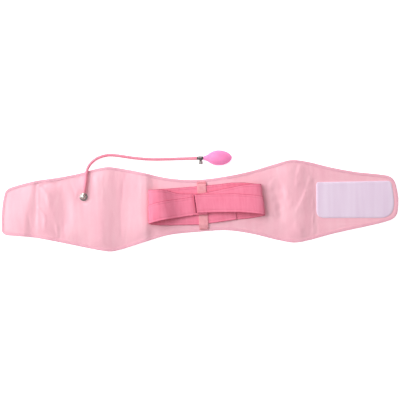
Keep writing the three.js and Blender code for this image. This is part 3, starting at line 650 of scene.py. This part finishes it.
def creaseHeight(x, y):
    total = 0
    here = Vector((x, y))
    wander = ripple(x, y, *panel["wander"])
    fading = 1 + ripple(x, y, *panel["fading"])
    for start, end, leftWidth, rightWidth, height in panel["creases"]:
        away, along = here - Vector(start), Vector(end) - Vector(start)
        side = along.normalized().cross(away) + wander
        reach = side / (rightWidth if side > 0 else leftWidth)
        if abs(reach) < 3:
            t = away.dot(along) / along.length_squared
            ends = ease(t, -0.25, 0.2) * (1 - ease(t, 0.8, 1.25))  # it runs out a little past both ends
            total += height * fading * math.exp(-reach * reach) * ends
    return total


def clothNoise(x, y, inside):
    near = math.exp(-((inside - panel["puckerAt"]) / panel["puckerWidth"]) ** 2)
    return sum(ripple(x, y, *row) for row in panel["cloth"]) + ripple(x, y, *panel["pucker"]) * near


def panelHeights(x, y):  # underside and top
    near, _, distance = edgeTree.find((x, y, 0))
    inside = distance - panel["hem"]
    share, width = panel["bead"]
    puff = mix(smooth(inside / panel["puff"]), smooth(inside / width), share)
    padded = ease(x, *panel["paddedFrom"]) * (1 - ease(x, *panel["paddedTo"]))
    full = mix(panel["tabThickness"], panel["padThickness"], padded)
    sample = (x, y) if inside > 0 else (near.x, near.y)
    lift = waveLift(*sample) * mix(hemShare(*sample), 1, smooth(inside / panel["waveFade"]))
    under = panel["wall"] * (1 - puff) + lift
    relief = 0
    if inside > 0:
        relief = (creaseHeight(x, y) + clothNoise(x, y, inside)) * freedom(x, y)
        relief *= smooth(inside / panel["reliefFade"])
    return under, under + mix(panel["hemThickness"], full, puff) + relief


def panelPlace(columns, rows, cornerSteps):  # gives each column and row of a grid its place on the panel
    loop = insetLoop(closedLoop(outlineSides(columns, rows, cornerSteps)), panel["wall"])
    half = columns + rows
    sides = {"bottom": loop[:columns + 1], "right": loop[columns:half + 1],
             "top": loop[half:half + columns + 1][::-1], "left": (loop[half + columns:] + loop[:1])[::-1]}

    def place(column, row, face=1):  # face 1 is the top, 0 the underside
        x, y = blendSides(sides, column, row)
        return x, y, panelHeights(x, y)[face], x, y

    return place


# The pad swells: cloth simulation on a copy with half the columns and rows, whose free upper face rises
swell = {"pressure": 4.0, "frames": 20, "cap": 1.6, "seamFade": 6}


def swollenPad():
    columns, rows = panel["columns"] // 2, panel["rows"] // 2
    lifts = {(column, row): 0.0 for column in range(columns + 1) for row in range(rows + 1)}
    place = panelPlace(columns, rows, cornerSteps=6)
    bm = mappedGrid(columns, rows, place)
    addBack(bm, lambda column, row: place(column, row, face=0))
    copy = linkMesh("pad_copy", bm, satin)
    mesh = copy.data
    held = copy.vertex_groups.new(name="held")
    back, columnOf, rowOf = [[entry.value for entry in mesh.attributes[label].data]
                             for label in ("back", "column", "row")]
    for i, vert in enumerate(mesh.vertices):
        x, y = vert.co.x / mm, vert.co.y / mm
        inside = edgeTree.find((x, y, 0))[2] - panel["hem"]
        free = 0 if back[i] else freedom(x, y) * smooth(inside / swell["seamFade"])
        held.add([i], 1 - free, "REPLACE")
    cloth = copy.modifiers.new("cloth", "CLOTH")
    cloth.settings.vertex_group_mass = "held"
    cloth.settings.use_pressure = True
    cloth.settings.uniform_pressure_force = swell["pressure"]
    cloth.settings.effector_weights.gravity = 0
    scene = bpy.context.scene
    for step in range(1, swell["frames"] + 1):
        scene.frame_set(step)
    moved = copy.evaluated_get(bpy.context.evaluated_depsgraph_get()).to_mesh()
    for i, (vert, after) in enumerate(zip(mesh.vertices, moved.vertices)):
        if not back[i]:
            rise = (after.co.z - vert.co.z) / mm
            lifts[columnOf[i], rowOf[i]] = swell["cap"] * math.tanh(rise / swell["cap"])
    print("pad swells by, mm:", round(min(lifts.values()), 2), "to", round(max(lifts.values()), 2))
    scene.frame_set(1)
    bpy.data.objects.remove(copy)
    bpy.data.meshes.remove(mesh)
    return lifts


def makePanel():
    columns, rows = panel["columns"], panel["rows"]
    lifts = swollenPad()
    flat = panelPlace(columns, rows, cornerSteps=12)

    def place(column, row):
        x, y, z, u, v = flat(column, row)
        corners = [lifts[c, r] for c in (column // 2, (column + 1) // 2) for r in (row // 2, (row + 1) // 2)]
        return x, y, z + sum(corners) / 4, u, v

    bm = mappedGrid(columns, rows, place)
    addBack(bm, lambda column, row: flat(column, row, face=0))
    piece = makePiece("belt_panel_satin", bm, satin, "belt_panel")


makePanel()
print("panel made")


# Edge binding: one tape folded round the panel's edge, with its two lips sewn down
binding = {
    # distance inside the edge, height; a closed section from the lower lip round to the upper one
    "section": [(8, 0.05), (5.5, 0), (2.6, 0), (1.1, 0.12), (0.35, 0.7), (0.05, 1.7), (0, 2.7), (0.05, 3.7),
                (0.35, 4.45), (1.1, 4.8), (2.6, 4.95), (5.5, 4.95), (7.4, 4.92), (8, 4.82), (8, 4.5),
                (5, 4.35), (1.6, 4.3), (1, 3.9), (1, 1.5), (1.6, 1.05), (5, 1), (8, 1)],
    "lip": 8, "middle": 2,  # above the middle the tape ripples, most at its lip
    "steps": 520,
    "ripple": (0.28, 13, 13, 5.5),
    "stitch": {"inset": 6.2, "heights": (4.9, 0.1), "pitch": 4.2, "size": (3.1, 0.75, 0.5)},
}


def hemLift(point):
    return waveLift(*point) * hemShare(*point)


def makeBinding():
    section = binding["section"]
    loop = evenPoints(edgeLoop, binding["steps"], closed=True)
    loops = [insetLoop(loop, inset) for inset, _ in section]
    whole = lineLength(loop + loop[:1])
    around = runningLengths([Vector(p) for p in section + section[:1]])
    lifts = [hemLift(p) for p in loop]

    def place(column, row):
        corner, step = row % len(section), column % len(loop)
        inset, height = section[corner]
        x, y = loops[corner][step]
        z = height + lifts[step]
        if height > binding["middle"]:
            z += ripple(x, y, *binding["ripple"]) * inset / binding["lip"]
        return x, y, z, column / len(loop) * whole, around[row]

    bm = mappedGrid(len(loop), len(section), place)
    bmesh.ops.remove_doubles(bm, verts=list(bm.verts), dist=1e-6)
    bmesh.ops.recalc_face_normals(bm, faces=list(bm.faces))
    makePiece("edge_binding_tape", bm, tape, "edge_binding")


def addStitch(bm, at, along, size, up=Vector((0, 0, 1))):  # one short bead of thread, mm
    made = bmesh.ops.create_icosphere(bm, subdivisions=1, radius=0.5)
    turn = Matrix((along.normalized(), up.cross(along).normalized(), up)).transposed().to_4x4()
    place = shifted(*at) @ turn @ Matrix.Diagonal((*(Vector(size) * mm), 1))
    bmesh.ops.transform(bm, matrix=place, verts=made["verts"])


def stitchLoop(bm, line, pitch, size):  # beads all round a closed line
    count = round(lineLength(line + line[:1]) / pitch)
    points = evenPoints(line, count, closed=True)
    for point, ahead in zip(points, points[1:] + points[:1]):
        addStitch(bm, point, ahead - point, size)


def makeBindingStitches():
    stitch = binding["stitch"]
    row = insetLoop(edgeLoop, stitch["inset"])
    bm = bmesh.new()
    for height in stitch["heights"]:
        line = [Vector((*p, height + hemLift(q))) for p, q in zip(row, edgeLoop)]
        stitchLoop(bm, line, stitch["pitch"], stitch["size"])
    makePiece("edge_binding_stitches", bm, pinkThread)


makeBinding()
makeBindingStitches()
print("binding made")


# Hook patch: a sewn rectangle of hook tape, with a smooth rim and rows of small moulded hooks inside it
patch = {
    "centre": (410.9, 0.7), "length": 205.0, "height": 94.6, "turn": -2.02,
    "bow": 3.0, "slant": 5.5, "flare": 3.5,  # right side outwards, its top corner inwards and upwards
    "base": 4.45, "thickness": 1.3, "edgeSink": 0.6, "wave": (0.18, 40, 40, 2.0),
    "corners": {"topLeft": 6, "bottomLeft": 21, "bottomRight": 38, "topRight": 13},
    "columns": 98, "rows": 48,
    "hook": {"gap": 0.55, "taper": 0.85, "lean": 0.25, "height": 0.45},
    "stitch": {"inset": 3.0, "lift": 0.02, "grid": (60, 30), "pitch": 3.6, "size": (2.7, 0.7, 0.45)},
}
patchTop = patch["base"] + patch["thickness"]


def patchSides(columns, rows, inset=0.0):
    right, top = patch["length"] / 2 - inset, patch["height"] / 2 - inset
    halves = [i / 16 for i in range(9)]  # half of a corner
    shares = [i / 12 for i in range(1, 12)]  # the upright side between two corners

    def bend(corner, t):  # a rounded corner, t from its upright side to its level one
        radius = max(patch["corners"][corner] - inset, 1.0)
        signX, signY = 1 if "Right" in corner else -1, 1 if "top" in corner else -1
        tip = Vector((signX * right, signY * top))
        if corner == "topRight":
            tip += Vector((-patch["slant"], patch["flare"]))
        return bendPoint(tip - Vector((0, signY * radius)), tip, tip - Vector((signX * radius, 0)), t)

    sides = {}
    for name in ("bottom", "top"):
        leftBend = [bend(name + "Left", 0.5 + h) for h in halves]
        sides[name] = evenPoints(leftBend + [bend(name + "Right", 1 - h) for h in halves], columns)
    for name, bow in (("Left", 0), ("Right", patch["bow"])):
        low = [bend("bottom" + name, 0.5 - h) for h in halves]
        high = [bend("top" + name, h) for h in halves]
        middle = [low[-1].lerp(high[0], s) + Vector((bow * 2 * s * (1 - s), 0)) for s in shares]
        sides[name.lower()] = evenPoints(low + middle + high, rows)
    return sides


def onPatch(point):  # from the patch's own flat frame to the belt's
    return Vector(patch["centre"]) + Matrix.Rotation(math.radians(patch["turn"]), 2) @ point


def makePatch():
    columns, rows, pile = patch["columns"], patch["rows"], patch["hook"]
    sides = patchSides(columns, rows)

    def place(column, row):
        flat = blendSides(sides, column, row)
        edge = min(column, row, columns - column, rows - row)
        z = patchTop + ripple(*flat, *patch["wave"]) * min(edge, 3) / 3
        return *onPatch(flat), z if edge else z - patch["edgeSink"], *flat

    bm = mappedGrid(columns, rows, place)
    columnOf, rowOf = [bm.verts.layers.int[label] for label in ("column", "row")]
    inner = [f for f in bm.faces if all(1 < v[columnOf] < columns - 1 and 1 < v[rowOf] < rows - 1
                                        for v in f.verts)]
    bmesh.ops.inset_individual(bm, faces=inner, thickness=pile["gap"] * mm, depth=0)
    rise = Vector((pile["lean"], 0, pile["height"])) * mm
    for face in inner:
        middle = face.calc_center_median()
        for vert in face.verts:
            vert.co = middle + (vert.co - middle) * pile["taper"] + rise
    done = bmesh.ops.extrude_edge_only(bm, edges=[e for e in bm.edges if e.is_boundary])
    for vert in [g for g in done["geom"] if isinstance(g, bmesh.types.BMVert)]:
        vert.co.z = patch["base"] * mm
    bmesh.ops.contextual_create(bm, geom=[e for e in bm.edges if e.is_boundary])
    bmesh.ops.recalc_face_normals(bm, faces=list(bm.faces))
    makePiece("hook_patch_tape", bm, hook, "hook_patch")


def makePatchStitches():
    stitch = patch["stitch"]
    loop = closedLoop(patchSides(*stitch["grid"], stitch["inset"]))
    bm = bmesh.new()
    line = [Vector((*onPatch(p), patchTop + stitch["lift"])) for p in loop]
    stitchLoop(bm, line, stitch["pitch"], stitch["size"])
    makePiece("hook_patch_stitches", bm, paleThread)


makePatch()
makePatchStitches()
print("hook patch made")


# Elastic bands: two bands fan out from the tips, run behind the keeper and fold over at both sides
strap = {
    # x, height, middle of the upper band, middle of the lower band, lean; from the left tip to the right tip
    "run": [(20, 13.2, 8, 0.8, 0), (-10, 13.2, 8, 0.5, 0), (-38, 13.3, 8.2, -2.7, 0),
            (-51, 14.3, 9.2, -4.1, -0.05), (-65, 17.4, 13.2, -5.4, -0.11), (-79, 23.5, 18.6, -6.7, -0.14),
            (-94, 30, 21.4, -8.5, -0.14), (-110, 31.4, 22, -11.3, -0.09), (-126, 28, 22, -15.6, -0.02),
            (-132.5, 21.6, 22, -18.2, 0), (-130, 17, 22, -19.8, 0), (-120, 15.1, 22.3, -21.8, 0),
            (-104, 13.6, 22.8, -23.3, 0), (-82, 11.6, 23.5, -24.5, 0), (-40, 9.85, 25.5, -25, 0),
            (0, 9.85, 27, -25.5, -0.02), (50, 9.85, 30, -20, -0.05), (90, 9.85, 33.5, -15.5, -0.07),
            (120, 9.85, 33, -14, -0.07), (148, 10.1, 28.7, -11, -0.07), (160.5, 12, 27.5, -8.5, -0.07),
            (166, 17.4, 27.3, -6.7, -0.07), (164, 23.8, 27.4, -5, -0.07), (153, 27, 27.8, -2.2, -0.07),
            (126, 26.6, 27.6, 1.5, -0.07), (100, 24.4, 23.6, 4, -0.07), (50, 19.4, 14.8, 5.5, -0.08),
            (20, 17.5, 9.7, 5.5, -0.1), (-10, 16.85, 5.5, 5.5, -0.1)],
    "upper": 2, "lower": 3, "lean": 4,  # columns of the run
    "axisY": 10, "width": 49, "thickness": 1.5, "layer": 1.8,
    # across the band: place from its middle, and depth of the woven lines beside its edges
    "across": [(-24.5, -0.25), (-23.9, 0), (-19, 0), (-18.2, -0.22), (-17.4, 0), (-11, 0.03), (-4, 0.05),
               (4, 0.05), (11, 0.03), (17.4, 0), (18.2, -0.22), (19, 0), (23.9, 0), (24.5, -0.25)],
    "edgeWave": (0.25, 16, 1),
    "stepsPerRow": 11,
    "lap": {"from": 20, "to": 45, "lift": 1.8, "end": 93, "start": 45},
    "tip": {"after": 0.85, "reach": 14, "lift": 1.0},  # the right tips stand up a little
    # in front of the right tips the left bands are pressed down
    "dip": {"before": 0.15, "x": -13.5, "lean": 0.1, "width": 4.0, "depth": 2.2},
    # painted shadow: dark beads round the end of the right tips, drawn like overlock thread, stand for the
    # shaded slit there
    "tipShadeBeads": {"gaps": 28, "margin": 0.8, "outside": 0.3, "shift": (-2, 0, 0), "along": (1, -0.1, 0),
                 "lengths": (5.6, 3.6), "width": 2.1, "height": 2.9},
}
strapLine = [Vector((row[0], 0, row[1])) for row in strap["run"]]


def strapValue(name, t):
    run, column = strap["run"], strap[name]
    at = clamp(t) * (len(run) - 1)
    row = min(int(at), len(run) - 2)
    return mix(run[row][column], run[row + 1][column], at - row)


def backShare(x):  # share of the run at which the back of the strap passes x
    row = min(range(len(strapLine)), key=lambda i: strapLine[i].x)
    while strapLine[row + 1].x < x:
        row += 1
    return (row + (x - strapLine[row].x) / (strapLine[row + 1].x - strapLine[row].x)) / (len(strapLine) - 1)


def strapPoint(t, band, layer, across, outside, lapped=False):  # a point of a band, mm
    step = 1e-3
    lap, dip, tip = strap["lap"], strap["dip"], strap["tip"]
    along = (runPoint(strapLine, t + step) - runPoint(strapLine, t - step)).normalized()
    out = Vector((along.z, 0, -along.x))
    at = runPoint(strapLine, t) + out * (layer * strap["layer"] + outside)
    if lapped and t > backShare(lap["from"]):
        at.z += lap["lift"] * ease(at.x, lap["from"], lap["to"])
    at.y = strapValue(band, t) + across
    aside = at.y - strap["axisY"]
    at.x += aside * strapValue("lean", t)
    if t < dip["before"]:
        reach = (at.x - dip["x"] + dip["lean"] * aside) / dip["width"]
        at.z -= dip["depth"] * math.exp(-reach * reach)
    if t > tip["after"]:
        at.z += tip["lift"] * (1 - clamp((at.x - strapLine[-1].x) / tip["reach"])) ** 2
    return at


def makeBand(node, band, layer, start, end, lapped=False):
    columns = int((end - start) * (len(strapLine) - 1) * strap["stepsPerRow"])
    shares = [mix(start, end, i / columns) for i in range(columns + 1)]
    sums = runningLengths([strapPoint(t, band, layer, 0, 0, lapped) for t in shares])
    profile = strap["across"]

    def place(column, row, face=1):  # face 1 looks outwards, -1 inwards
        across, depth = profile[row]
        aside = -across
        if row in (0, len(profile) - 1):
            aside += ripple(sums[column], across, *strap["edgeWave"], layer * 9.0)
        outside = face * (strap["thickness"] / 2 + depth)
        return *strapPoint(shares[column], band, layer, aside, outside, lapped), sums[column], across

    bm = mappedGrid(columns, len(profile) - 1, place)
    addBack(bm, lambda column, row: place(column, row, face=-1))
    piece = makePiece(node + "_elastic", bm, elastic, node)
    print(node, "length, mm:", round(sums[-1], 1))


# painted shadow: a row of dark beads along the end of the right tips
def makeTipShadeBeads():
    tipShadeBeads = strap["tipShadeBeads"]
    half = strap["width"] / 2 - tipShadeBeads["margin"]
    bm = bmesh.new()
    for i in range(tipShadeBeads["gaps"] + 1):
        share = i / tipShadeBeads["gaps"]
        at = strapPoint(1.0, "lower", 1, mix(-half, half, share), tipShadeBeads["outside"])
        size = (mix(*tipShadeBeads["lengths"], share ** 2), tipShadeBeads["width"], tipShadeBeads["height"])
        addStitch(bm, at + Vector(tipShadeBeads["shift"]), Vector(tipShadeBeads["along"]), size)
    makePiece("band_tip_shade_beads", bm, tipShadeThread)


makeBand("band_upper", "upper", 0, 0, 1)
makeBand("band_lower_left", "lower", 1, 0, backShare(strap["lap"]["end"]), lapped=True)
makeBand("band_lower_right", "lower", 1, backShare(strap["lap"]["start"]), 1)
makeTipShadeBeads()
print("bands made")


# Keeper: a strip of webbing across the waist, sewn down at both ends
keeper = {
    "run": [(63, 5.6), (58.5, 8.4), (53.4, 10.95), (28, 10.95), (9, 10.95), (2, 10.75), (-5, 9.55),
            (-28, 9.35), (-51, 9.35), (-57, 7.6), (-63, 5.6)],  # y, underside
    "x": 8, "width": 24, "lean": -0.02, "thickness": 1.0, "steps": 90,
    "across": [(-12, 0.3), (-11.6, 0.05), (-9, 0), (-3, 0), (3, 0), (9, 0), (11.6, 0.05), (12, 0.3)],
    "tacks": (0.02, 0.05, 0.085, 0.12, 0.95, 0.985),  # rows of stitches, as shares of the run
    "stitch": {"gaps": 10, "reach": 10.5, "lift": 0.15, "size": (2.6, 1.3, 0.6)},
}
keeperLine = [Vector((0, y, z)) for y, z in keeper["run"]]


def makeKeeper():
    profile = keeper["across"]

    def place(column, row, face=1):  # face 1 is the upper one, 0 the underside
        at = runPoint(keeperLine, 1 - row / keeper["steps"])
        across, sink = profile[column]
        height = keeper["thickness"] - sink if face else sink
        return keeper["x"] + across + keeper["lean"] * at.y, at.y, at.z + height, across, at.y

    bm = mappedGrid(len(profile) - 1, keeper["steps"], place)
    addBack(bm, lambda column, row: place(column, row, face=0))
    piece = makePiece("strap_keeper_webbing", bm, webbing, "strap_keeper")


def makeKeeperStitches():
    stitch, step = keeper["stitch"], 0.01
    bm = bmesh.new()
    for t in keeper["tacks"]:
        at = runPoint(keeperLine, t)
        ahead = (runPoint(keeperLine, t + step) - runPoint(keeperLine, t - step)).normalized()
        up = ahead.cross(Vector((1, 0, 0)))
        at.x = keeper["x"] + keeper["lean"] * at.y
        at += up * (keeper["thickness"] + stitch["lift"])
        for i in range(stitch["gaps"] + 1):
            aside = mix(-stitch["reach"], stitch["reach"], i / stitch["gaps"])
            addStitch(bm, at + Vector((aside, 0, 0)), ahead, stitch["size"], up)
    makePiece("strap_keeper_stitches", bm, coralThread)


makeKeeper()
makeKeeperStitches()
print("keeper made")


# Inlet elbow on the panel's left half
elbow = {
    "flange": [(0, 0), (0, 10.1), (0.25, 10.5), (0.9, 10.5), (1.3, 10.2), (1.5, 9.7), (1.5, 0)],
    "nut": {"from": 1.45, "height": 3.5, "radius": 8.6, "chamfer": 0.6},
    "body": [(1.2, 0), (1.2, 6.4), (9.2, 6.4), (10.4, 6.25), (11.6, 5.85), (12.6, 5.25), (13.5, 4.3),
             (14.2, 3.1), (14.6, 1.6), (14.7, 0)],
    "spout": [(0, 0), (0, 4.2), (6.9, 4.2), (7.2, 4.6), (8.3, 4.6), (8.6, 4.2), (9.2, 4.2), (9.5, 4.6),
              (10.5, 4.6), (10.8, 4.3), (10.8, 0)],
    "spoutHeight": 8.4, "turn": -10.5,
}


def makeElbow():
    nut = elbow["nut"]
    stand = shifted(*panel["inlet"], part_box("inlet_elbow")[0][2] / mm)
    upright = stand @ turned(-90, "Y")
    bm = bmesh.new()
    turnedShell(bm, elbow["flange"], upright, steps=56)
    middle = shifted(0, 0, nut["from"] + nut["height"] / 2)
    made = bmesh.ops.create_cone(bm, cap_ends=True, segments=6, radius1=nut["radius"] * mm,
                                 radius2=nut["radius"] * mm, depth=nut["height"] * mm, matrix=stand @ middle)
    nutVerts = set(made["verts"])
    rim = [e for e in bm.edges if set(e.verts) <= nutVerts and abs(e.verts[0].co.z - e.verts[1].co.z) < 1e-6]
    bmesh.ops.bevel(bm, geom=rim, offset=nut["chamfer"] * mm, affect="EDGES", segments=2, profile=0.5,
                    material=-1)
    makePiece("inlet_elbow_base", bm, greyNickel, crisp=35)
    bm = bmesh.new()
    turnedShell(bm, elbow["body"], upright, steps=48)
    spoutPlace = stand @ shifted(0, 0, elbow["spoutHeight"]) @ turned(90 + elbow["turn"], "Z")
    turnedShell(bm, elbow["spout"], spoutPlace, steps=40)
    makePiece("inlet_elbow_body", bm, nickel, "inlet_elbow", crisp=35)


makeElbow()
print("elbow made")


# Table and light: bright and even, with a soft key from the upper left
stage = {
    "tableSize": 12.0, "tableTop": -0.0002,
    "sky": {"To Min": 0.1, "To Max": 0.8},  # brightness at the horizon and overhead
    "key": {"power": 317.0, "from": (-0.68, 0.42, 0.6), "distance": 5.0, "size": 5.0},
}


def makeStage():
    bm = bmesh.new()
    bmesh.ops.create_grid(bm, x_segments=4, y_segments=4, size=stage["tableSize"] / 2,
                          matrix=Matrix.Translation((0, 0, stage["tableTop"])))
    linkMesh("table", bm, table)
    # a white ceiling that darkens towards the horizon, which gives the metal its dark rims
    world = bpy.data.worlds.new("studio")
    bpy.context.scene.world = world
    world.use_nodes = True
    world.node_tree.nodes.clear()
    add = partial(addNode, world)
    up = add("SeparateXYZ", {"Vector": add("TexCoord", out="Generated")}, "Z")
    square = add("Math", {0: up, 1: up}, "Value", operation="MULTIPLY")
    level = add("MapRange", {"Value": square, **stage["sky"]}, "Result")
    sky = add("Background", {"Color": linear("#ffffff"), "Strength": level}, "Background")
    add("OutputWorld", {"Surface": sky})
    key = bpy.data.lights.new("key", "AREA")
    key.energy = stage["key"]["power"]
    key.size = stage["key"]["size"]
    lamp = bpy.data.objects.new("key", key)
    keyFrom = Vector(stage["key"]["from"]).normalized()
    lamp.location = keyFrom * stage["key"]["distance"]
    lamp.rotation_euler = keyFrom.to_track_quat("Z", "Y").to_euler()
    bpy.context.collection.objects.link(lamp)


makeStage()
print("stage set")
